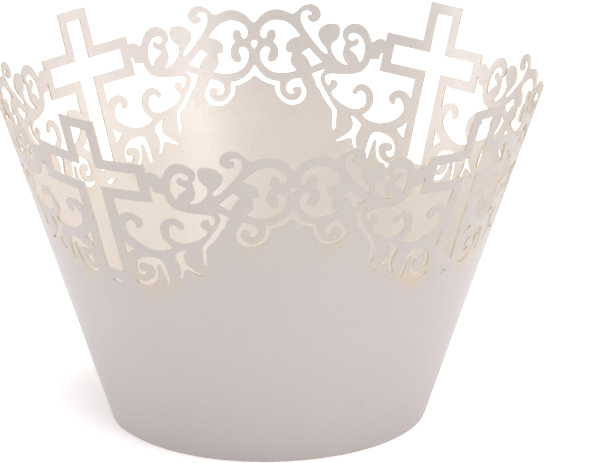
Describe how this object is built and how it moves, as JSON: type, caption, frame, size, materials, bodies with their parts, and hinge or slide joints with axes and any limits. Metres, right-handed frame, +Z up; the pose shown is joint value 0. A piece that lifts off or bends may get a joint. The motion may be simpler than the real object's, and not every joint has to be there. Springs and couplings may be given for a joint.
{
  "type": "cupcake wrapper",
  "caption": "Strip of pearl card rolled into an open cone, with a cut lace border of crosses and scrolls along its top edge.",
  "frame": {"origin": "centre of the bottom rim, on the plane that the wrapper stands on", "axes": "+Z up along the cone's axis; +X, +Y, -X and -Y each through the middle of a lace panel, with the glued lap on -X"},
  "size_m": [0.086, 0.0858, 0.0579],
  "materials": {
    "pearl_card": "pearlescent satin"
  },
  "bodies": {
    "root": {"wrapper": "pearl_card"}
  },
  "joints": []
}
